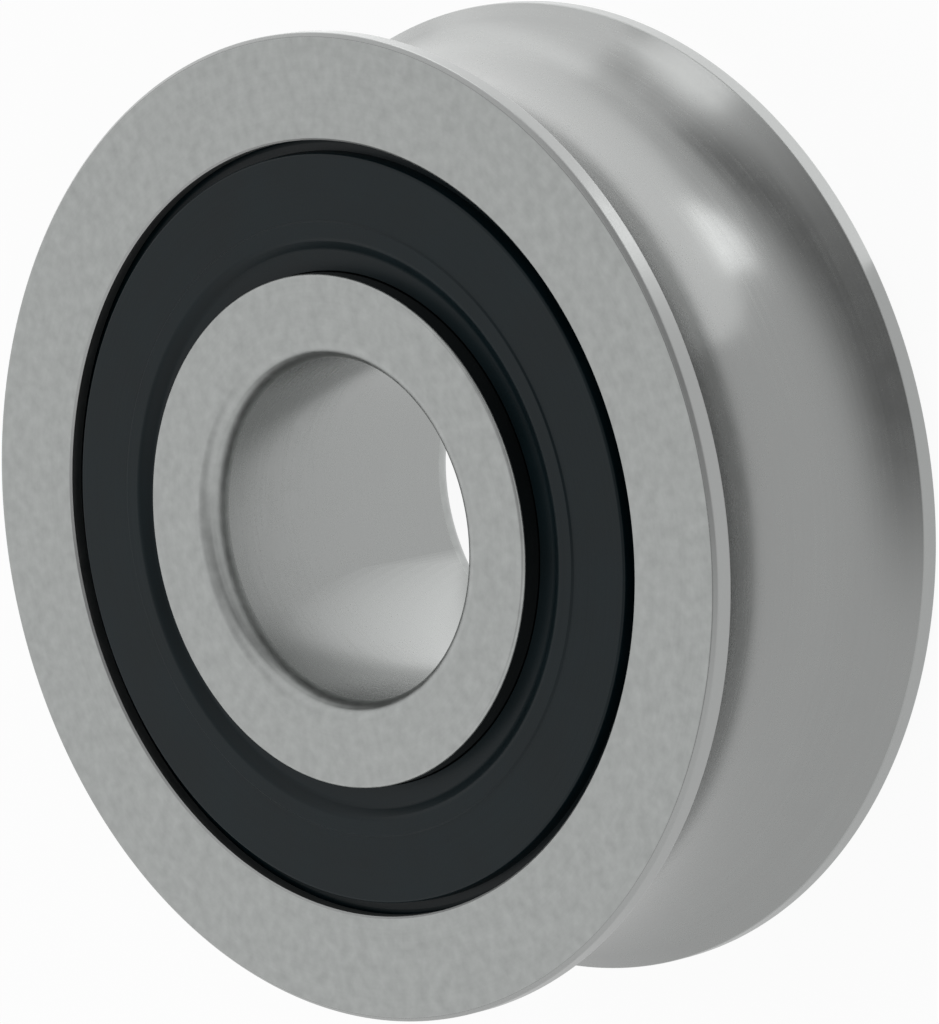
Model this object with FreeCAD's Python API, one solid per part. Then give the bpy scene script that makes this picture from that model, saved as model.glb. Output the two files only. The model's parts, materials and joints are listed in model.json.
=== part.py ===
import FreeCAD, Part
import math
import os

# Track roller bearing. A grooved outer ring runs along a round rail and turns on two rows of balls around a
# fixed inner ring. The axis is +Z and the origin is the middle of the bore, so the two halves mirror each
# other in the XY plane. Lengths are in millimetres. A profile is drawn as (radius, height) and turned about
# the axis.

# Whole roller
bore_radius = 12.5
rim_radius = 36.0
inner_ring_width = 25.8
outer_ring_width = 23.8

# Track: the rail rests in the bottom of a slightly wider round groove
rail_radius = 12.5
rail_distance = 43.5
track_radius = 13.0
track_lip_round = 0.2
rim_chamfer = 0.3

# Balls and raceways: the lines of contact of the two rows spread towards the axis
ball_radius = 7.938 / 2
balls_per_row = 12
pitch_radius = 20.72
row_height = 4.4
contact_angle = math.radians(30)
race_radius = 1.04 * ball_radius
race_clearance = 0.08
outer_middle_shoulder = 22.85
outer_end_shoulder = 24.35
inner_middle_shoulder = 17.2

# Inner ring: the bore's corner is a steep cone, rounded into the end face and into the bore
land_radius = 18.7
land_edge_round = 0.25
bore_corner_width = 0.8
bore_corner_depth = 1.2
bore_rim_round = 1.15
bore_corner_round = 2.2

# Seal seat in the outer ring: a step, an undercut groove and a straight mouth
seat_height = 9.5
mouth_radius = 28.26
mouth_chamfer = 0.15
undercut_depth = 0.69
undercut_height = 1.0
undercut_slope = 0.3

# Seal: a bead in the undercut, a moat, a flat face, a low raised band, and a slope to the shelf of its lip
bead_clearance = 0.06
face_recess = 0.15
moat_outer_radius = 27.95
moat_inner_radius = 27.37
moat_depth = 1.15
face_edge_radius = 27.27
face_edge_round = 0.12
band_radius = 22.33
band_height = 0.12
slope_top_radius = 21.1
slope_foot_radius = 20.3
slope_round = 0.7
shelf_depth = 0.55
lip_clearance = 0.06
lip_drop = 0.62
lip_height = 0.38
lip_root_radius = 19.05
back_clearance = 0.15
back_step_radius = 24.6

# Cage
pocket_clearance = 0.2
cage_inner_radius = 19.35
cage_outer_radius = 22.35
cage_edge_round = 0.3
cage_back_wall = 0.75
prong_reach = 1.6
prong_slot_width = 1.1
prong_slot_foot = 1.0

# Worked-out values
face = outer_ring_width / 2
end_face = inner_ring_width / 2
track_centre = rail_distance - rail_radius + track_radius
race_offset = race_radius - ball_radius - race_clearance
ball_pitch = 2 * math.pi / balls_per_row
AXIS = FreeCAD.Vector(0, 0, 1)
ORIGIN = FreeCAD.Vector(0, 0, 0)


def straight_runs(*corners):
    """Lines through the corners. A corner's third number, where it has one, is the radius that rounds it."""
    segments = []
    start = corners[0][:2]
    for before, corner, after in zip(corners, corners[1:], corners[2:]):
        tip = FreeCAD.Vector(*corner[:2], 0)
        if len(corner) == 2:
            segments.append((start, corner))
            start = corner
            continue
        towards_start = (FreeCAD.Vector(*before[:2], 0) - tip).normalize()
        towards_end = (FreeCAD.Vector(*after[:2], 0) - tip).normalize()
        half_angle = towards_start.getAngle(towards_end) / 2
        inwards = (towards_start + towards_end).normalize()
        round_start = tip + towards_start * (corner[2] / math.tan(half_angle))
        round_end = tip + towards_end * (corner[2] / math.tan(half_angle))
        round_middle = tip + inwards * (corner[2] / math.sin(half_angle) - corner[2])
        segments.append((start, (round_start.x, round_start.y)))
        segments.append(tuple((p.x, p.y) for p in (round_start, round_middle, round_end)))
        start = (round_end.x, round_end.y)
    segments.append((start, corners[-1][:2]))
    return segments


def mirrored(segments):
    """The same run below the middle, in the opposite order."""
    return [tuple((r, -z) for r, z in reversed(points)) for points in reversed(segments)]


def turned(segments):
    """The solid swept by a closed profile. Two points are a line, and three are an arc."""
    edges = []
    for points in segments:
        places = [FreeCAD.Vector(r, 0, z) for r, z in points]
        curve = Part.LineSegment(*places) if len(places) == 2 else Part.Arc(*places)
        edges.append(curve.toShape())
    return Part.Face(Part.Wire(edges)).revolve(ORIGIN, AXIS, 360)


def raceway(side, middle_shoulder, end_shoulder):
    """Upper raceway's arc from its middle to its end shoulder. Side is 1 outside the balls, -1 inside."""
    centre_r = pitch_radius - side * race_offset * math.cos(contact_angle)
    centre_z = row_height + side * race_offset * math.sin(contact_angle)
    middle_z = centre_z - math.sqrt(race_radius**2 - (middle_shoulder - centre_r) ** 2)
    end_z = centre_z + math.sqrt(race_radius**2 - (end_shoulder - centre_r) ** 2)
    bottom = (centre_r + side * race_radius, centre_z)
    return (middle_shoulder, middle_z), bottom, (end_shoulder, end_z)


def outer_ring():
    """Steel ring with the track outside, and a raceway and a seal seat on each side inside."""
    race = raceway(1, outer_middle_shoulder, outer_end_shoulder)
    undercut_radius = mouth_radius + undercut_depth
    undercut_top = seat_height + undercut_height
    # The lip's round touches the rim and the track's arc from outside
    lip_r = rim_radius - track_lip_round
    lip_z = math.sqrt((track_radius + track_lip_round) ** 2 - (track_centre - lip_r) ** 2)
    slope = math.atan2(lip_z, track_centre - lip_r)
    lip_end = (track_centre - track_radius * math.cos(slope), track_radius * math.sin(slope))
    turn = (math.pi - slope) / 2
    lip_middle = (lip_r + track_lip_round * math.sin(turn), lip_z - track_lip_round * math.cos(turn))
    upper = [race] + straight_runs(
        race[2],
        (outer_end_shoulder, seat_height),
        (undercut_radius, seat_height),
        (undercut_radius, undercut_top),
        (mouth_radius, undercut_top + undercut_slope),
        (mouth_radius, face - mouth_chamfer),
        (mouth_radius + mouth_chamfer, face),
        (rim_radius - rim_chamfer, face),
        (rim_radius, face - rim_chamfer),
        (rim_radius, lip_z),
    )
    upper.append(((rim_radius, lip_z), lip_middle, lip_end))
    track = (lip_end, (track_centre - track_radius, 0), (lip_end[0], -lip_end[1]))
    shoulder = ((race[0][0], -race[0][1]), race[0])
    return turned(upper + [track] + mirrored(upper) + [shoulder])


def inner_ring():
    """Steel ring with the bore inside, and a raceway and a seal land on each side outside."""
    race = raceway(-1, inner_middle_shoulder, land_radius)
    upper = [race] + straight_runs(
        race[2],
        (land_radius, end_face, land_edge_round),
        (bore_radius + bore_corner_width, end_face, bore_rim_round),
        (bore_radius, end_face - bore_corner_depth, bore_corner_round),
        (bore_radius, 0),
    )
    middle = ((race[0][0], -race[0][1]), race[0])
    # The two halves of the bore become one face
    return turned(upper + mirrored(upper) + [middle]).removeSplitter()


def seal_profile():
    """Closed profile of the upper seal: from the bead over its face to the lip, and back underneath."""
    bead_radius = mouth_radius + undercut_depth - bead_clearance
    bead_top = seat_height + undercut_height - bead_clearance
    seal_face = face - face_recess
    moat_floor = seal_face - moat_depth
    band = seal_face + band_height
    lip_radius = land_radius + lip_clearance
    lip_top = band - lip_drop
    back = seat_height + back_clearance
    return straight_runs(
        (back_step_radius, seat_height),
        (bead_radius, seat_height),
        (bead_radius, bead_top),
        (moat_outer_radius, moat_floor),
        (moat_inner_radius, moat_floor),
        (face_edge_radius, seal_face, face_edge_round),
        (band_radius + band_height, seal_face),
        (band_radius, band),
        (slope_top_radius, band, slope_round),
        (slope_foot_radius, band - shelf_depth, slope_round),
        (lip_radius, lip_top),
        (lip_radius, lip_top - lip_height),
        (lip_root_radius, back),
        (back_step_radius - back_clearance, back),
        (back_step_radius, seat_height),
    )


def cage():
    """Upper snap cage: a ring behind the balls with round pockets, and two prongs between each two balls."""
    pocket_radius = ball_radius + pocket_clearance
    top = row_height + pocket_radius + cage_back_wall
    bottom = row_height - prong_reach
    blank = turned(
        straight_runs(
            (cage_inner_radius, bottom),
            (cage_outer_radius, bottom),
            (cage_outer_radius, top, cage_edge_round),
            (cage_inner_radius, top, cage_edge_round),
            (cage_inner_radius, bottom),
        )
    )
    slot_reach = cage_outer_radius + cage_edge_round
    slot_top = row_height + prong_slot_foot
    cuts = []
    for step in range(balls_per_row):
        cuts.append(Part.makeSphere(pocket_radius, ball_centre(step * ball_pitch, row_height)))
        slot = Part.makeBox(
            slot_reach,
            prong_slot_width,
            slot_top,
            FreeCAD.Vector(0, -prong_slot_width / 2, 0),
        )
        end = Part.makeCylinder(
            prong_slot_width / 2,
            slot_reach,
            FreeCAD.Vector(0, 0, slot_top),
            FreeCAD.Vector(1, 0, 0),
        )
        for cutter in (slot, end):
            cutter.rotate(ORIGIN, AXIS, math.degrees((step + 0.5) * ball_pitch))
            cuts.append(cutter)
    return blank.cut(cuts)


def ball_centre(angle, height):
    """Place of a ball on its row's pitch circle."""
    return FreeCAD.Vector(pitch_radius * math.cos(angle), pitch_radius * math.sin(angle), height)


def lower_copy(shape, turn=0.0):
    """The piece for the lower row: mirrored in the middle plane, then turned about the axis by an angle."""
    copy = shape.mirror(ORIGIN, AXIS)
    copy.rotate(ORIGIN, AXIS, math.degrees(turn))
    return copy


def roller_pieces():
    """Every piece of the roller by name. The lower row stands half a pitch round from the upper one."""
    upper_seal = turned(seal_profile())
    upper_cage = cage()
    pieces = {
        "outer_ring": outer_ring(),
        "inner_ring": inner_ring(),
        "upper_seal": upper_seal,
        "lower_seal": lower_copy(upper_seal),
        "upper_cage": upper_cage,
        "lower_cage": lower_copy(upper_cage, ball_pitch / 2),
    }
    for number in range(1, balls_per_row + 1):
        angle = (number - 1) * ball_pitch
        upper_place = ball_centre(angle, row_height)
        lower_place = ball_centre(angle + ball_pitch / 2, -row_height)
        pieces[f"upper_ball_{number:02d}"] = Part.makeSphere(ball_radius, upper_place)
        pieces[f"lower_ball_{number:02d}"] = Part.makeSphere(ball_radius, lower_place)
    return pieces


os.makedirs("parts", exist_ok=True)
for name, shape in roller_pieces().items():
    shape.exportStep(f"parts/{name}.step")
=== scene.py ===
import json
import math

import bpy
import numpy as np
from mathutils import Euler, Matrix, Quaternion, Vector


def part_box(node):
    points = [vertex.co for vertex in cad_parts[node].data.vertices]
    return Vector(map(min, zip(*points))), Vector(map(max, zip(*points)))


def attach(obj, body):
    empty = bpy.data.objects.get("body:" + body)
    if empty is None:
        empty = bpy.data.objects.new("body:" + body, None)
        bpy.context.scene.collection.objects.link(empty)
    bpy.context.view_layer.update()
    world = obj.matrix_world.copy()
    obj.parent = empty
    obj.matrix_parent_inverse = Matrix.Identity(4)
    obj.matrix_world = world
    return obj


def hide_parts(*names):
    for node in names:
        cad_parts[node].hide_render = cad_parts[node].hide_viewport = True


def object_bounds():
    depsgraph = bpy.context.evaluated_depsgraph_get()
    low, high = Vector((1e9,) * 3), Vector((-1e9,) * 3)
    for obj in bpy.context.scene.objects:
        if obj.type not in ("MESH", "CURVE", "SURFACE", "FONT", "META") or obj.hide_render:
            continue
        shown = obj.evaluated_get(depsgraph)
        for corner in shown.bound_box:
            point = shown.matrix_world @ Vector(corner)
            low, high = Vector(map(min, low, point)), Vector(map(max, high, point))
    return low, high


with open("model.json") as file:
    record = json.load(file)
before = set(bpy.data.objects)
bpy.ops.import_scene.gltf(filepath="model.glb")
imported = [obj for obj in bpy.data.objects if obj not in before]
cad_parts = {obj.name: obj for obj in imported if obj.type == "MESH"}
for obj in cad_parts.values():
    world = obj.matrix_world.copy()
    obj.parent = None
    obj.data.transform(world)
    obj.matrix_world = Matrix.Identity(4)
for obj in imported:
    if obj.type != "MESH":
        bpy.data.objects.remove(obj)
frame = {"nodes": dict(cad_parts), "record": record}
cad_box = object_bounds()

bl_info = {
    "name": "Track Roller",
    "version": (1, 0, 0),
    "blender": (4, 5, 0),
    "location": "View3D > Sidebar > Roller",
    "description": "Finishes a grooved track roller with sealed rings and sets it on a pale studio floor",
    "category": "Add Mesh",
}

# Lengths are in metres, and a profile is drawn as (radius, height) above the middle of the bore
MM = 0.001

# Sizes that the frame already holds
OUTER_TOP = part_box("outer_ring")[1]
INNER_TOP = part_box("inner_ring")[1]
SEAL_FOOT, SEAL_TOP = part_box("upper_seal")
BALL_FOOT, BALL_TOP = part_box("upper_ball_01")
BALL_PLACE = (BALL_FOOT + BALL_TOP) / 2
BALL_RADIUS = (BALL_TOP.z - BALL_FOOT.z) / 2
MOUNTS = {mount["name"]: mount for mount in frame["record"]["mounts"]}

# Raceways: a little wider than the balls, and set off along the lines of contact
RACE_RADIUS = 1.04 * BALL_RADIUS
RACE_CLEARANCE = 0.08 * MM
RACE_OFFSET = RACE_RADIUS - BALL_RADIUS - RACE_CLEARANCE
CONTACT_ANGLE = math.radians(30)
SHOULDER_ROOM = 0.1 * MM
OUTER_MIDDLE_SHOULDER = 22.85 * MM
OUTER_END_SHOULDER = 24.35 * MM
INNER_MIDDLE_SHOULDER = 17.2 * MM

# Seat of the seal in the outer ring: an undercut that slopes up to a bevelled mouth
UNDERCUT_DEPTH = 0.69 * MM
UNDERCUT_HEIGHT = 1.0 * MM
UNDERCUT_SLOPE = 0.3 * MM
MOUTH_BEVEL = 0.15 * MM

# Seal: radii from the axis, heights above its seat and depths below its raised band
BACK_STEP = (24.45 * MM, 24.6 * MM)
BACK_RECESS = 0.15 * MM
BEAD_HEIGHT = 0.94 * MM
MOAT_RADIUS = 27.95 * MM
MOAT_SLOPE = 0.1 * MM
MOAT_DEPTH = 1.27 * MM
BAND_RADIUS = 22.33 * MM
BAND_DEPTH = 0.12 * MM
SLOPE_RADIUS = (20.3 * MM, 21.1 * MM)
SHELF_DEPTH = 0.55 * MM
LIP_GAP = 0.06 * MM
LIP_DEPTH = (0.62 * MM, 1.0 * MM)
LIP_ROOT = 19.05 * MM

# Roundings with the number of points on each, points along the grooves, and steps round the axis
BREAK = (0.03 * MM, 3)
EDGE = (0.07 * MM, 5)
RIM_EDGE = (0.25 * MM, 6)
LIP = (0.2 * MM, 7)
LAND_EDGE = (0.25 * MM, 8)
BORE_RIM = (1.15 * MM, 14)
BORE_CORNER = (2.2 * MM, 12)
SLOPE_EDGE = (0.7 * MM, 8)
TRACK_POINTS = 72
RACE_POINTS = 16
AROUND = 360

# How near a run of the profile lies to a face, to the track's lip or to the bore to take its finish
FACE_MARGIN = 0.01 * MM
LIP_MARGIN = 0.3 * MM
BORE_MARGIN = 0.002 * MM

# Floor: radii of the circles that its points lie on, and the points on each
FLOOR_RADII = (0.2, 1.0, 6.0)
FLOOR_STEPS = 64

# Room: how far the dark strip spreads, where it fades in up the picture, and where the dark overhead does
STRIP_ANGLE = math.radians(38)
STRIP_FADE = (-0.6, 0.0)
OVERHEAD_FADE = (0.75, 0.98)

# Distances of the nearest and farthest things that the camera sees
CAMERA_RANGE = (0.01, 50.0)

# Plain white for a node's socket, and how far lamps lie above the floor
WHITE = (1.0, 1.0, 1.0, 1.0)
LAMP_LIFT = 0.1 * MM

# Lamps on the floor: bearing from +X, distances of the near and far ends from the axis, and width
SIDE_LAMP = (math.radians(45), 40 * MM, 700 * MM, 280 * MM)
NEAR_LAMP = (math.radians(-22), 16 * MM, 57 * MM, 70 * MM)
SPOT_LAMP = (math.radians(-51.5), 50 * MM, 130 * MM, 14 * MM)

# Lamps that stand beside the roller: middle, bearing and elevation of their aim, width and height
CARD_LAMP = (Vector((53.0, -18.0, 5.5)) * MM, math.radians(187), math.radians(-28), 28 * MM, 14 * MM)
WALL_LAMP = (Vector((60.0, 9.0, -5.5)) * MM, math.pi, 0.0, 38 * MM, 14 * MM)

# Lamps in the bore: how many, width and height, the first one's middle, the step to the next, and slant
BORE_LAMPS = 8
BORE_LAMP_SIZE = (9.5 * MM, 28 * MM)
BORE_LAMP_PLACE = Vector((-3.0, 10.2, -8.2)) * MM
BORE_LAMP_STEP = Vector((-0.2, -0.55, -0.8)) * MM
BORE_LAMP_SLANT = math.radians(26)


def length(name, description, metres):
    """A length that shows in the panel."""
    return bpy.props.FloatProperty(
        name=name, description=description, default=metres, min=0.0, precision=5, unit="LENGTH"
    )


def share(name, description, default):
    """A number from 0 to 1 that shows in the panel."""
    return bpy.props.FloatProperty(
        name=name, description=description, default=default, min=0.0, max=1.0, subtype="FACTOR"
    )


def colour(name, description, red, green, blue):
    """A colour that shows in the panel."""
    return bpy.props.FloatVectorProperty(
        name=name,
        description=description,
        default=(red, green, blue),
        min=0.0,
        max=1.0,
        size=3,
        subtype="COLOR",
    )


def level(name, description, default):
    """A brightness that shows in the panel. At 1 the room or a lamp looks plain white in a mirror."""
    return bpy.props.FloatProperty(name=name, description=description, default=default, min=0.0)


def angle(name, description, degrees):
    """An angle that shows in the panel."""
    return bpy.props.FloatProperty(
        name=name, description=description, default=math.radians(degrees), unit="ROTATION"
    )


class RollerSizes(bpy.types.PropertyGroup):
    """Sizes of the rings and seals"""

    rim_radius: length("Rim radius", "Outside of the outer ring", max(OUTER_TOP.x, OUTER_TOP.y))
    bore_radius: length("Bore radius", "Hole for the axle", MOUNTS["bore"]["dims"]["r_mm"] * MM)
    face_height: length("Face height", "Outer ring's face above the middle", OUTER_TOP.z)
    end_height: length("End height", "Inner ring's end above the middle", INNER_TOP.z)
    track_bottom: length("Track bottom", "Radius at the bottom of the track", MOUNTS["track"]["pos_m"][0])
    track_radius: length("Track radius", "Radius of the track's hollow", 13.0 * MM)
    rim_chamfer: length("Rim chamfer", "Bevel between the rim and the face", 0.3 * MM)
    land_radius: length("Land radius", "Outside of the inner ring", max(INNER_TOP.x, INNER_TOP.y))
    corner_width: length("Corner width", "Reach of the bore's corner outwards, before rounding", 0.8 * MM)
    corner_depth: length("Corner depth", "Reach of the bore's corner down, before rounding", 1.2 * MM)
    mouth_radius: length("Mouth radius", "Opening in the face that holds the seal", 28.26 * MM)
    seal_height: length("Seal height", "Seal's raised band above the middle", SEAL_TOP.z)
    seal_edge: length("Seal edge", "Outside of the seal's flat face", 27.27 * MM)


class RollerFinishes(bpy.types.PropertyGroup):
    """Colours and roughness of the surfaces"""

    face_colour: colour("Face steel", "Ground faces of the rings", 0.395, 0.408, 0.401)
    edge_colour: colour("Edge steel", "Rims and bevels", 0.360, 0.368, 0.364)
    # Track steel is tinted darker than the face steel to paint the dimmer surroundings that the track
    # reflects
    track_colour: colour("Track steel", "Polished track", 0.291, 0.297, 0.293)
    bore_colour: colour("Bore steel", "Honed bore", 0.350, 0.359, 0.354)
    # Land steel is tinted far darker than the face steel to paint the shade on the land wall beside the
    # seal
    land_shade_colour: colour("Land steel", "Lands and raceways between the rings", 0.15, 0.16, 0.16)
    rubber_colour: colour("Rubber", "Lip seals", 0.0020, 0.0078, 0.0103)
    cage_colour: colour("Cage plastic", "Snap cages", 0.55, 0.46, 0.30)
    ball_colour: colour("Ball steel", "Polished balls", 0.56, 0.57, 0.58)
    face_roughness: share("Face roughness", "Ground faces", 0.36)
    edge_roughness: share("Edge roughness", "Rims and bevels", 0.40)
    land_roughness: share("Land roughness", "Lands and raceways between the rings", 0.22)
    track_roughness: share("Track roughness", "Polished track", 0.25)
    bore_roughness: share("Bore roughness", "Honed bore", 0.26)
    rubber_roughness: share("Rubber roughness", "Lip seals", 0.35)


class RollerStage(bpy.types.PropertyGroup):
    """Camera, floor and light"""

    camera_elevation: angle("Camera elevation", "Above the floor", 45.465)
    camera_roll: angle("Camera roll", "Turn of the picture about the line of sight", -101.41)
    camera_offset: bpy.props.FloatVectorProperty(
        name="Face centre",
        description="Middle of the upper face as the camera sees it: right, up and behind",
        default=(-9.084 * MM, -1.318 * MM, -625.41 * MM),
        size=3,
        subtype="TRANSLATION",
        unit="LENGTH",
    )
    focal_length: bpy.props.FloatProperty(
        name="Focal length", description="Lens in millimetres on a 36 mm sensor", default=305.09, min=1.0
    )
    floor_colour: colour("Floor", "Pale floor", 0.92, 0.92, 0.92)
    floor_glow: share("Floor glow", "How far the eye and reflections see the floor as plain white", 0.93)
    room_level: level("Room", "Soft light from all round", 0.95)
    strip_depth: share("Dark strip", "How dark the room is behind the camera", 0.75)
    overhead_depth: share("Dark overhead", "How dark the room is straight above", 0.45)
    card_level: level("Card lamp", "Small oval lamp that stands beside the roller", 1.2)
    wall_level: level("Wall lamp", "Low wide lamp that stands beside the roller", 0.6)
    side_level: level("Side lamp", "Wide lamp that lies on the floor beside the roller", 0.43)
    near_level: level("Near lamp", "Oval lamp that lies half under the roller", 0.6)
    spot_level: level("Spot lamp", "Narrow bright lamp that lies on the floor", 1.5)
    bore_level: level("Bore lamps", "Each of the small lamps that stand in the bore", 0.070)


class Wire:
    """One output of a node. Arithmetic on wires and numbers adds Math nodes."""

    def __init__(self, sheet, socket):
        self.sheet = sheet
        self.socket = socket

    def beside(self, output):
        """Another output of the same node."""
        return Wire(self.sheet, self.socket.node.outputs[output])

    def __add__(self, other):
        return self.sheet.maths("ADD", self, other)

    def __sub__(self, other):
        return self.sheet.maths("SUBTRACT", self, other)

    def __rsub__(self, other):
        return self.sheet.maths("SUBTRACT", other, self)

    def __mul__(self, other):
        return self.sheet.maths("MULTIPLY", self, other)

    def __truediv__(self, other):
        return self.sheet.maths("DIVIDE", self, other)

    def __rtruediv__(self, other):
        return self.sheet.maths("DIVIDE", other, self)

    def __pow__(self, other):
        return self.sheet.maths("POWER", self, other)

    def __rpow__(self, other):
        return self.sheet.maths("POWER", other, self)

    __radd__ = __add__
    __rmul__ = __mul__


class Sheet:
    """The nodes of a material or a world, written one after another."""

    def __init__(self, owner):
        owner.use_nodes = True
        self.owner = owner
        self.tree = owner.node_tree
        self.tree.nodes.clear()

    def node(self, kind, settings=None, values=None, output=0):
        """Adds a node, sets its settings, sets or links its inputs, and returns one of its outputs."""
        made = self.tree.nodes.new("ShaderNode" + kind)
        for name, setting in (settings or {}).items():
            setattr(made, name, setting)
        for key, value in (values or {}).items():
            if isinstance(value, Wire):
                self.tree.links.new(value.socket, made.inputs[key])
            else:
                made.inputs[key].default_value = value
        return Wire(self, made.outputs[output]) if made.outputs else None

    def maths(self, operation, *values):
        """Result of an operation on wires and numbers."""
        return self.node("Math", {"operation": operation}, dict(enumerate(values)))

    def along(self, vector, axis):
        """How far a vector reaches along an axis of length one."""
        return self.node("VectorMath", {"operation": "DOT_PRODUCT"}, {0: vector, 1: axis}, 1)

    def shaded(self, tint, shade, dark, light):
        """A tint times dark where the shade is 0, times light where it is 1, and between them elsewhere."""
        values = {0: shade, 6: rgba(tint, dark), 7: rgba(tint, light)}
        return self.node("Mix", {"data_type": "RGBA"}, values, 2)

    def noise(self, vector, size, detail):
        """Cloudy value about 0.5. Size is that of a cloud, in the vector's own unit."""
        return self.node("TexNoise", None, {"Vector": vector, "Scale": 1 / size, "Detail": detail})

    def smooth(self, value, low, high):
        """0 below low, 1 above high and an S-shaped rise between them."""
        values = {"Value": value, "From Min": low, "From Max": high}
        return self.node("MapRange", {"interpolation_type": "SMOOTHSTEP"}, values)

    def bump(self, height, depth):
        """Normal of a surface raised by a height from 0 to 1 times a depth in metres."""
        return self.node("Bump", None, {"Strength": 1.0, "Distance": depth, "Height": height})

    def surface(self, values):
        """A Principled shader on the material's surface."""
        shader = self.node("BsdfPrincipled", None, values)
        self.node("OutputMaterial", None, {"Surface": shader})
        return self.owner


def rgba(values, strength=1.0):
    """A colour for a node's socket, made lighter or darker by a factor."""
    return (*(strength * value for value in values), 1.0)


def turning_marks(sheet, place, across, pitch, run):
    """Fine lines round the axis.

    They are noise on the point's direction from the axis, times run, and on its distance across the lines,
    counted in pitches. So each line keeps its shade for a long way round. Across names that distance: the
    height or the radius.
    """
    x = sheet.node("SeparateXYZ", None, {0: place})
    y, z = x.beside(1), x.beside(2)
    radius = (x * x + y * y) ** 0.5
    counted = (z if across == "height" else radius) / pitch
    vector = sheet.node("CombineXYZ", None, {0: x / radius * run, 1: y / radius * run, 2: counted})
    return sheet.noise(vector, size=1.0, detail=3.0)


def ring_steel(name, tint, roughness, across, pitch, marking, mottling, depth, cloud=2.2 * MM):
    """Bearing steel with turning marks, cloudy mottling and a fine grain.

    Marking and mottling are how far the lines and the clouds change the shade. Depth is how deep the lines
    and the grain are, and cloud is the size of a cloud.
    """
    sheet = Sheet(bpy.data.materials.new(name))
    place = sheet.node("TexCoord", output="Object")
    marks = turning_marks(sheet, place, across, pitch, run=2.0)
    mottle = sheet.noise(place, size=cloud, detail=4.0)
    grain = sheet.noise(place, size=0.16 * MM, detail=2.0)
    shade = (mottle - 0.5) * mottling + (marks - 0.5) * marking + 0.5
    texture = (marks - 0.5) * 0.12 + (mottle - 0.5) * 0.10 + (grain - 0.5) * 0.08
    return sheet.surface({
        "Base Color": sheet.shaded(tint, shade, dark=0.82, light=1.18),
        "Metallic": 1.0,
        "Roughness": texture + roughness,
        "Normal": sheet.bump(marks * 0.5 + grain * 0.5, depth),
    })


def ground_steel(name, finishes):
    """Satin face: faint cloudy mottling and a fine ground grain."""
    return ring_steel(
        name,
        finishes.face_colour,
        finishes.face_roughness,
        across="radius",
        pitch=0.2 * MM,
        marking=0.3,
        mottling=1.2,
        depth=0.006 * MM,
        cloud=1.0 * MM,
    )


def edge_steel(name, tint, roughness):
    """Turned rims, lands, bevels and corners."""
    return ring_steel(
        name,
        tint,
        roughness,
        across="height",
        pitch=0.15 * MM,
        marking=0.15,
        mottling=0.15,
        depth=0.003 * MM,
    )


def track_steel(finishes):
    """Polished track with faint lines round it and a dark tint that paints the dimmer room it reflects."""
    return ring_steel(
        "polished_track",
        finishes.track_colour,
        finishes.track_roughness,
        across="height",
        pitch=0.22 * MM,
        marking=0.22,
        mottling=0.15,
        depth=0.002 * MM,
    )


def bore_steel(finishes):
    """Honed bore with the faintest lines round it."""
    return ring_steel(
        "honed_bore",
        finishes.bore_colour,
        finishes.bore_roughness,
        across="height",
        pitch=0.25 * MM,
        marking=0.20,
        mottling=0.15,
        depth=0.0012 * MM,
    )


def seal_rubber(finishes):
    """Matt moulded rubber with faint rings from its mould and a fine grain."""
    sheet = Sheet(bpy.data.materials.new("seal_rubber"))
    place = sheet.node("TexCoord", output="Object")
    rings = turning_marks(sheet, place, "radius", pitch=0.3 * MM, run=1.2)
    bloom = sheet.noise(place, size=5 * MM, detail=3.0)
    grain = sheet.noise(place, size=0.12 * MM, detail=2.0)
    shade = (bloom - 0.5) * 1.2 + (rings - 0.5) * 0.5 + 0.5
    return sheet.surface({
        "Base Color": sheet.shaded(finishes.rubber_colour, shade, dark=0.7, light=1.3),
        "Roughness": (grain - 0.5) * 0.2 + (bloom - 0.5) * 0.15 + finishes.rubber_roughness,
        "Specular IOR Level": 0.22,
        "Normal": sheet.bump(grain * 0.6 + rings * 0.4, depth=0.012 * MM),
    })


def cage_plastic(finishes):
    """Glass-filled moulded plastic: short pale fibres in a warm matt ground."""
    sheet = Sheet(bpy.data.materials.new("cage_plastic"))
    place = sheet.node("TexCoord", output="Object")
    fibres = turning_marks(sheet, place, "height", pitch=0.25 * MM, run=14.0)
    cloud = sheet.noise(place, size=3 * MM, detail=3.0)
    grain = sheet.noise(place, size=0.2 * MM, detail=2.0)
    shade = (fibres - 0.5) * 0.9 + (cloud - 0.5) * 0.6 + 0.5
    return sheet.surface({
        "Base Color": sheet.shaded(finishes.cage_colour, shade, dark=0.82, light=1.15),
        "Roughness": (fibres - 0.5) * 0.2 + (grain - 0.5) * 0.15 + 0.48,
        "Normal": sheet.bump(grain * 0.6 + fibres * 0.4, depth=0.02 * MM),
    })


def ball_steel(finishes):
    """Lapped steel, bright all over, with the faintest cloud in its polish."""
    sheet = Sheet(bpy.data.materials.new("ball_steel"))
    place = sheet.node("TexCoord", output="Object")
    cloud = sheet.noise(place, size=1.5 * MM, detail=4.0)
    return sheet.surface({
        "Base Color": sheet.shaded(finishes.ball_colour, cloud, dark=0.94, light=1.05),
        "Metallic": 1.0,
        "Roughness": (cloud - 0.5) * 0.06 + 0.09,
    })


def unit(vectors):
    """Vectors scaled to a length of one."""
    return vectors / np.linalg.norm(vectors, axis=-1, keepdims=True)


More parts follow.
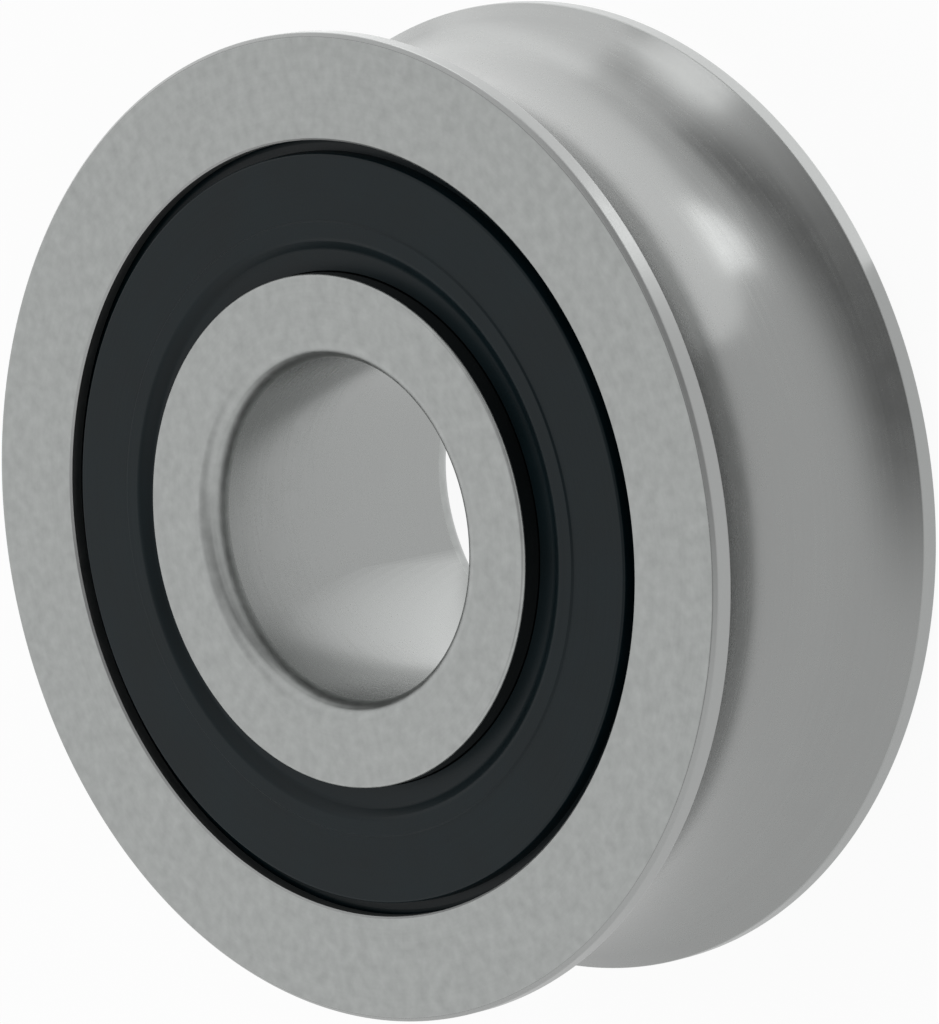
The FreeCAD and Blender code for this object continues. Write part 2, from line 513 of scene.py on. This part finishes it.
def outline(corners):
    """Closed profile with rounded corners: its points and the normals that point out of the body.

    A corner is (radius, height, rounding, points), and the corners run anticlockwise. The round's centre
    lies on the line that halves the corner, rounding / sin(half the corner's angle) away, and its points
    divide the arc between the two places where it touches the runs. A hollow corner's normals point at the
    centre.
    """
    rows = np.array(corners, float)
    place, rounding, points = rows[:, :2], rows[:, 2:3], rows[:, 3].astype(int)
    back = unit(np.roll(place, 1, axis=0) - place)
    ahead = unit(np.roll(place, -1, axis=0) - place)
    half = np.arccos((back * ahead).sum(axis=1, keepdims=True)) / 2
    side = np.sign(back[:, 1:] * ahead[:, :1] - back[:, :1] * ahead[:, 1:])
    centre = place + unit(back + ahead) * rounding / np.sin(half)
    spoke = place + back * rounding / np.tan(half) - centre
    start = np.arctan2(spoke[:, 1:], spoke[:, :1])
    sweep = side * (np.pi - 2 * half)
    corner = np.repeat(np.arange(len(points)), points)
    step = np.arange(len(corner)) - np.repeat(np.cumsum(points) - points, points)
    turn = start[corner] + sweep[corner] * (step / (points[corner] - 1))[:, None]
    ray = np.hstack((np.cos(turn), np.sin(turn)))
    profile = centre[corner] + rounding[corner] * ray
    if not np.isfinite(profile).all():
        raise ValueError("A rounding or a groove doesn't fit between its corners")
    return profile, side[corner] * ray


def hollow(centre, radius, before, after, points):
    """Corner whose round is the arc of a groove between two points.

    The tangent from a point at a distance d touches the circle arccos(radius / d) round from the line to
    that point. The two tangents meet radius / cos(half the arc) from the centre, and that is the corner.
    """
    spokes = np.array((before[:2], after[:2])) - np.array(centre)
    bearing = np.arctan2(spokes[:, 1], spokes[:, 0])
    lean = np.arccos(radius / np.hypot(spokes[:, 0], spokes[:, 1]))
    first = bearing[0] - lean[0]
    half = (first - bearing[1] - lean[1]) % (2 * np.pi) / 2
    reach = radius / np.cos(half)
    middle = first - half
    return (centre[0] + reach * np.cos(middle), centre[1] + reach * np.sin(middle), radius, points)


def mirrored(corners):
    """The same corners below the middle, in the opposite order."""
    return [(radius, -height, *rest) for radius, height, *rest in reversed(corners)]


def raceway(side, middle_radius, end_radius):
    """Shoulders and hollow of the upper raceway, anticlockwise.

    Side is 1 in the outer ring and -1 in the inner ring. The two radii are those of the shoulders.
    """
    centre_r = BALL_PLACE.x - side * RACE_OFFSET * math.cos(CONTACT_ANGLE)
    centre_z = BALL_PLACE.z + side * RACE_OFFSET * math.sin(CONTACT_ANGLE)
    middle_z = centre_z - math.sqrt(RACE_RADIUS**2 - (middle_radius - centre_r) ** 2) - SHOULDER_ROOM
    end_z = centre_z + math.sqrt(RACE_RADIUS**2 - (end_radius - centre_r) ** 2) + SHOULDER_ROOM
    middle = (middle_radius, middle_z, *EDGE)
    end = (end_radius, end_z, *EDGE)
    before, after = (end, middle) if side > 0 else (middle, end)
    return [before, hollow((centre_r, centre_z), RACE_RADIUS, before, after, RACE_POINTS), after]


def outer_ring_corners(sizes):
    """Section of the outer ring: the track, then a face, a seal's seat and a raceway on each side."""
    rim, face, mouth = sizes.rim_radius, sizes.face_height, sizes.mouth_radius
    seat = SEAL_FOOT.z
    undercut = mouth + UNDERCUT_DEPTH
    undercut_top = seat + UNDERCUT_HEIGHT
    track_centre = sizes.track_bottom + sizes.track_radius
    lip_height = math.sqrt(sizes.track_radius**2 - (track_centre - rim) ** 2) + SHOULDER_ROOM
    lip = (rim, lip_height, *LIP)
    low_lip = (rim, -lip_height, *LIP)
    upper = [
        lip,
        (rim, face - sizes.rim_chamfer, *RIM_EDGE),
        (rim - sizes.rim_chamfer, face, *RIM_EDGE),
        (mouth + MOUTH_BEVEL, face, *BREAK),
        (mouth, face - MOUTH_BEVEL, *BREAK),
        (mouth, undercut_top + UNDERCUT_SLOPE, *BREAK),
        (undercut, undercut_top, *BREAK),
        (undercut, seat, *BREAK),
        (OUTER_END_SHOULDER, seat, *BREAK),
        *raceway(1, OUTER_MIDDLE_SHOULDER, OUTER_END_SHOULDER),
    ]
    track = hollow((track_centre, 0.0), sizes.track_radius, low_lip, lip, TRACK_POINTS)
    return [track, *upper, *mirrored(upper)]


def inner_ring_corners(sizes):
    """Section of the inner ring: a raceway, a land, an end face and the bore's corner on each side."""
    land, end, bore = sizes.land_radius, sizes.end_height, sizes.bore_radius
    upper = [
        *raceway(-1, INNER_MIDDLE_SHOULDER, land),
        (land, end, *LAND_EDGE),
        (bore + sizes.corner_width, end, *BORE_RIM),
        (bore, end - sizes.corner_depth, *BORE_CORNER),
    ]
    return [*upper, *mirrored(upper)]


def seal_corners(sizes):
    """Section of the upper seal: bead, moat, flat face, raised band, and a slope to the lip's shelf."""
    band, seat, edge = sizes.seal_height, SEAL_FOOT.z, sizes.seal_edge
    bead = max(SEAL_TOP.x, SEAL_TOP.y)
    face = band - BAND_DEPTH
    moat = band - MOAT_DEPTH
    back = seat + BACK_RECESS
    lip = sizes.land_radius + LIP_GAP
    lip_top, lip_foot = (band - depth for depth in LIP_DEPTH)
    return [
        (BACK_STEP[1], seat, *BREAK),
        (bead, seat, *BREAK),
        (bead, seat + BEAD_HEIGHT, *EDGE),
        (MOAT_RADIUS, moat, *BREAK),
        (edge + MOAT_SLOPE, moat, *BREAK),
        (edge, face, *LIP),
        (BAND_RADIUS + BAND_DEPTH, face, *BREAK),
        (BAND_RADIUS, band, *BREAK),
        (SLOPE_RADIUS[1], band, *SLOPE_EDGE),
        (SLOPE_RADIUS[0], band - SHELF_DEPTH, *SLOPE_EDGE),
        (lip, lip_top, *BREAK),
        (lip, lip_foot, *BREAK),
        (LIP_ROOT, back, *EDGE),
        (BACK_STEP[0], back, *BREAK),
    ]


def turned_mesh(name, points, normals, zones):
    """A closed profile turned about the axis.

    The profile's point (radius, height) at an angle is (radius cos, radius sin, height), and its normal
    turns the same way. Each run of the profile makes a band of four-cornered faces with that run's zone.
    """
    turn = np.arange(AROUND) * (2 * np.pi / AROUND)
    round_it = np.stack((np.cos(turn), np.sin(turn)), axis=1)[:, None, :]

    def swept(profile):
        height = np.broadcast_to(profile[None, :, 1:], (AROUND, len(profile), 1))
        return np.concatenate((round_it * profile[None, :, :1], height), axis=2).reshape(-1, 3)

    count = len(points)
    row, column = np.meshgrid(np.arange(AROUND), np.arange(count), indexing="ij")
    next_row, next_column = (row + 1) % AROUND, (column + 1) % count
    quads = np.stack(
        (
            row * count + column,
            next_row * count + column,
            next_row * count + next_column,
            row * count + next_column,
        ),
        axis=2,
    ).reshape(-1, 4)
    mesh = bpy.data.meshes.new(name)
    mesh.vertices.add(AROUND * count)
    mesh.vertices.foreach_set("co", swept(points).ravel())
    mesh.loops.add(quads.size)
    mesh.loops.foreach_set("vertex_index", quads.ravel())
    mesh.polygons.add(len(quads))
    mesh.polygons.foreach_set("loop_start", np.arange(0, quads.size, 4))
    mesh.polygons.foreach_set("material_index", np.tile(zones, AROUND))
    mesh.update(calc_edges=True)
    mesh.normals_split_custom_set_from_vertices(swept(normals))
    return mesh


def run_middles(points):
    """Radius and height of the middle of each run of a profile."""
    return ((points + np.roll(points, -1, axis=0)) / 2).T


def add_piece(name, mesh, materials, body, node):
    """Shows a finished piece in the place of its node, on that node's body."""
    for material in materials:
        mesh.materials.append(material)
    piece = bpy.data.objects.new(name, mesh)
    bpy.context.scene.collection.objects.link(piece)
    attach(piece, body)
    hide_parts(node)


def finish_nodes(names, material):
    """Gives nodes that keep their own shape a finished material."""
    if not names:
        raise RuntimeError(f"The frame has no nodes to finish with {material.name}")
    for name in names:
        node = frame["nodes"][name]
        if not node.material_slots:
            node.data.materials.append(material)
        for slot in node.material_slots:
            slot.material = material


class ROLLER_OT_outer_ring(bpy.types.Operator):
    """Turn the outer ring with its track, faces and raceways"""

    bl_idname = "roller.outer_ring"
    bl_label = "Outer Ring"

    def execute(self, context):
        sizes, finishes = context.scene.roller_sizes, context.scene.roller_finishes
        points, normals = outline(outer_ring_corners(sizes))
        radius, height = run_middles(points)
        on_face = np.abs(height) > sizes.face_height - FACE_MARGIN
        outside = radius > sizes.track_bottom - FACE_MARGIN
        below_lip = radius < sizes.rim_radius - LIP_MARGIN
        on_track = outside & below_lip & ~on_face
        # A zone is the place of its finish in the list of materials
        zones = np.select((on_face, on_track), (0, 1), 2)
        materials = (
            ground_steel("ground_face", finishes),
            track_steel(finishes),
            edge_steel("turned_edge", finishes.edge_colour, finishes.edge_roughness),
        )
        mesh = turned_mesh("grooved_outer_ring", points, normals, zones)
        add_piece("grooved_outer_ring", mesh, materials, "outer_ring", "outer_ring")
        return {"FINISHED"}


class ROLLER_OT_inner_ring(bpy.types.Operator):
    """Turn the inner ring with its bore, end faces and raceways"""

    bl_idname = "roller.inner_ring"
    bl_label = "Inner Ring"

    def execute(self, context):
        sizes, finishes = context.scene.roller_sizes, context.scene.roller_finishes
        points, normals = outline(inner_ring_corners(sizes))
        radius, height = run_middles(points)
        in_bore = radius < sizes.bore_radius + BORE_MARGIN
        on_end = np.abs(height) > sizes.end_height - LAND_EDGE[0]
        in_corner = radius < (sizes.bore_radius + sizes.land_radius) / 2
        # A zone is the place of its finish in the list of materials
        zones = np.select((in_bore, on_end | in_corner), (1, 0), 2)
        # The third finish, for lands and raceways, has a darkened tint that paints the shade on the land
        # beside the seal
        materials = (
            ground_steel("ground_end", finishes),
            bore_steel(finishes),
            edge_steel("oiled_land", finishes.land_shade_colour, finishes.land_roughness),
        )
        mesh = turned_mesh("bored_inner_ring", points, normals, zones)
        add_piece("bored_inner_ring", mesh, materials, "inner_ring", "inner_ring")
        return {"FINISHED"}


class ROLLER_OT_seals(bpy.types.Operator):
    """Mould the two lip seals into the outer ring"""

    bl_idname = "roller.seals"
    bl_label = "Seals"

    def execute(self, context):
        points, normals = outline(seal_corners(context.scene.roller_sizes))
        flip = np.array((1.0, -1.0))
        rubber = seal_rubber(context.scene.roller_finishes)
        sides = (("upper", points, normals), ("lower", points[::-1] * flip, normals[::-1] * flip))
        for side, place, normal in sides:
            mesh = turned_mesh(f"{side}_lip_seal", place, normal, np.zeros(len(place), int))
            add_piece(f"{side}_lip_seal", mesh, (rubber,), "outer_ring", f"{side}_seal")
        return {"FINISHED"}


class ROLLER_OT_cages(bpy.types.Operator):
    """Finish the two snap cages"""

    bl_idname = "roller.cages"
    bl_label = "Cages"

    def execute(self, context):
        names = [name for name in frame["nodes"] if name.endswith("_cage")]
        finish_nodes(names, cage_plastic(context.scene.roller_finishes))
        return {"FINISHED"}


class ROLLER_OT_balls(bpy.types.Operator):
    """Finish the two rows of balls"""

    bl_idname = "roller.balls"
    bl_label = "Balls"

    def execute(self, context):
        names = [name for name in frame["nodes"] if "_ball_" in name]
        finish_nodes(names, ball_steel(context.scene.roller_finishes))
        return {"FINISHED"}


def add_floor(stage):
    """A wide round floor under the roller: triangles round its middle, then flat rings of quads."""
    turn = np.arange(FLOOR_STEPS) * (2 * np.pi / FLOOR_STEPS)
    circle = np.stack((np.cos(turn), np.sin(turn)), axis=1)
    flat = (np.array(FLOOR_RADII)[:, None, None] * circle[None]).reshape(-1, 2)
    points = np.column_stack((np.vstack(((0.0, 0.0), flat)), np.full(len(flat) + 1, cad_box[0].z)))
    step = np.arange(FLOOR_STEPS) + 1
    following = np.roll(step, -1)
    faces = np.stack((np.zeros_like(step), step, following), axis=1).tolist()
    for ring in range(1, len(FLOOR_RADII)):
        outer = ring * FLOOR_STEPS
        inner = outer - FLOOR_STEPS
        quads = np.stack((step + inner, step + outer, following + outer, following + inner), axis=1)
        faces += quads.tolist()
    mesh = bpy.data.meshes.new("studio_floor")
    mesh.from_pydata(points.tolist(), [], faces)
    mesh.materials.append(floor_material(stage))
    floor = bpy.data.objects.new("studio_floor", mesh)
    bpy.context.scene.collection.objects.link(floor)


def floor_material(stage):
    """Matt pale floor that the eye and reflections see mostly as plain white, with a faint shadow."""
    sheet = Sheet(bpy.data.materials.new("studio_floor"))
    seen = sheet.node("LightPath", output="Is Camera Ray")
    shown = seen + seen.beside("Is Glossy Ray") + seen.beside("Is Transmission Ray")
    matt = sheet.node("BsdfDiffuse", None, {"Color": rgba(stage.floor_colour)})
    white = sheet.node("Emission", None, {"Color": WHITE, "Strength": 1.0})
    floor = sheet.node("MixShader", None, {0: shown * stage.floor_glow, 1: matt, 2: white})
    sheet.node("OutputMaterial", None, {"Surface": floor})
    return sheet.owner


def add_lamp(name, shape, place, turn, width, height, brightness):
    """A flat soft lamp that the camera doesn't see. Its power is its brightness times pi and its area."""
    data = bpy.data.lights.new(name, "AREA")
    data.shape = shape
    data.size = width
    data.size_y = height
    area = width * height * (math.pi / 4 if shape == "ELLIPSE" else 1.0)
    data.energy = brightness * math.pi * area
    lamp = bpy.data.objects.new(name, data)
    bpy.context.scene.collection.objects.link(lamp)
    lamp.location = place
    lamp.rotation_mode = "QUATERNION"
    lamp.rotation_quaternion = turn
    lamp.visible_camera = False


def add_floor_lamp(name, shape, brightness, bearing, near, far, width):
    """A lamp that lies on the floor and shines up, from near to far along a bearing from the axis."""
    middle = (near + far) / 2
    place = (middle * math.cos(bearing), middle * math.sin(bearing), cad_box[0].z + LAMP_LIFT)
    turn = Euler((math.pi, 0.0, bearing)).to_quaternion()
    add_lamp(name, shape, place, turn, far - near, width, brightness)


def add_standing_lamp(name, shape, brightness, place, bearing, elevation, width, height, slant=0.0):
    """A lamp that stands beside or in the roller and shines along its aim, turned about it by a slant."""
    flat = math.cos(elevation)
    aim = Vector((flat * math.cos(bearing), flat * math.sin(bearing), math.sin(elevation)))
    turn = aim.to_track_quat("-Z", "Y") @ Quaternion((0.0, 0.0, 1.0), slant)
    add_lamp(name, shape, place, turn, width, height, brightness)


def camera_turn(stage):
    """Rotation of the camera: tipped down by its elevation, then rolled about the line of sight."""
    tip = Matrix.Rotation(math.pi / 2 - stage.camera_elevation, 3, "X")
    return tip @ Matrix.Rotation(stage.camera_roll, 3, "Z")


def add_camera(stage):
    """A long lens that sees the middle of the upper face where the picture has it."""
    turn = camera_turn(stage)
    data = bpy.data.cameras.new("camera")
    data.lens = stage.focal_length
    data.clip_start, data.clip_end = CAMERA_RANGE
    camera = bpy.data.objects.new("camera", data)
    bpy.context.scene.collection.objects.link(camera)
    face_middle = Vector((0.0, 0.0, bpy.context.scene.roller_sizes.face_height))
    place = face_middle - turn @ Vector(stage.camera_offset)
    camera.matrix_world = Matrix.Translation(place) @ turn.to_4x4()
    bpy.context.scene.camera = camera


def light_bore(stage):
    """Lamps that stand in the bore one behind another. Their edges lie in steps, so the light fades in."""
    width, height = BORE_LAMP_SIZE
    for step in range(BORE_LAMPS):
        add_standing_lamp(
            f"bore_lamp_{step + 1}",
            "RECTANGLE",
            stage.bore_level,
            BORE_LAMP_PLACE + BORE_LAMP_STEP * step,
            bearing=math.pi,
            elevation=0.0,
            width=width,
            height=height,
            slant=BORE_LAMP_SLANT,
        )


def light_room(stage):
    """Soft light from all round, darker overhead and in a strip from behind the camera up the picture.

    The strip is measured by the angle about the picture's upward axis, from the camera's own direction, and
    the overhead part by how far a direction of length one reaches up.
    """
    world = bpy.data.worlds.new("studio_room")
    bpy.context.scene.world = world
    sheet = Sheet(world)
    right, up, back = camera_turn(stage).col
    toward = sheet.node("TexCoord", output="Generated")
    across = sheet.along(toward, right)
    above = sheet.along(toward, up)
    behind = sheet.along(toward, back)
    swing = sheet.maths("ABSOLUTE", sheet.maths("ARCTAN2", across, behind))
    strip = (1 - sheet.smooth(swing, 0.0, STRIP_ANGLE)) * sheet.smooth(above, *STRIP_FADE)
    overhead = sheet.smooth(sheet.along(toward, (0.0, 0.0, 1.0)), *OVERHEAD_FADE) * stage.overhead_depth
    brightness = (1 - strip * stage.strip_depth) * (1 - overhead) * stage.room_level
    room = sheet.node("Background", None, {"Color": WHITE, "Strength": brightness})
    sheet.node("OutputWorld", None, {"Surface": room})


class ROLLER_OT_stage(bpy.types.Operator):
    """Lay the floor, hang the lamps and set up the camera"""

    bl_idname = "roller.stage"
    bl_label = "Stage"

    def execute(self, context):
        stage = context.scene.roller_stage
        add_floor(stage)
        add_camera(stage)
        light_room(stage)
        light_bore(stage)
        add_standing_lamp("card_lamp", "ELLIPSE", stage.card_level, *CARD_LAMP)
        add_standing_lamp("wall_lamp", "RECTANGLE", stage.wall_level, *WALL_LAMP)
        add_floor_lamp("side_lamp", "RECTANGLE", stage.side_level, *SIDE_LAMP)
        add_floor_lamp("near_lamp", "ELLIPSE", stage.near_level, *NEAR_LAMP)
        add_floor_lamp("spot_lamp", "RECTANGLE", stage.spot_level, *SPOT_LAMP)
        context.scene.view_settings.view_transform = "Standard"
        return {"FINISHED"}


class ROLLER_PT_panel(bpy.types.Panel):
    """Lists the steps that build the roller, and its sizes, finishes and stage"""

    bl_label = "Track Roller"
    bl_idname = "ROLLER_PT_panel"
    bl_space_type = "VIEW_3D"
    bl_region_type = "UI"
    bl_category = "Roller"

    def draw(self, context):
        for operator in OPERATORS:
            self.layout.operator(operator.bl_idname)
        for name in GROUPS:
            group = getattr(context.scene, name)
            box = self.layout.box()
            for setting in group.__annotations__:
                box.prop(group, setting)


GROUPS = {"roller_sizes": RollerSizes, "roller_finishes": RollerFinishes, "roller_stage": RollerStage}
OPERATORS = (
    ROLLER_OT_outer_ring,
    ROLLER_OT_inner_ring,
    ROLLER_OT_seals,
    ROLLER_OT_cages,
    ROLLER_OT_balls,
    ROLLER_OT_stage,
)


def register():
    """Adds the classes and the scene's settings."""
    for added in (*GROUPS.values(), *OPERATORS, ROLLER_PT_panel):
        bpy.utils.register_class(added)
    for name, group in GROUPS.items():
        setattr(bpy.types.Scene, name, bpy.props.PointerProperty(type=group))


def unregister():
    """Takes the settings and the classes away again."""
    for name in GROUPS:
        delattr(bpy.types.Scene, name)
    for added in (ROLLER_PT_panel, *reversed(OPERATORS), *GROUPS.values()):
        bpy.utils.unregister_class(added)


def main():
    """Builds every piece and the stage."""
    register()
    bpy.ops.roller.outer_ring()
    bpy.ops.roller.inner_ring()
    bpy.ops.roller.seals()
    bpy.ops.roller.cages()
    bpy.ops.roller.balls()
    bpy.ops.roller.stage()


if __name__ == "__main__":
    main()
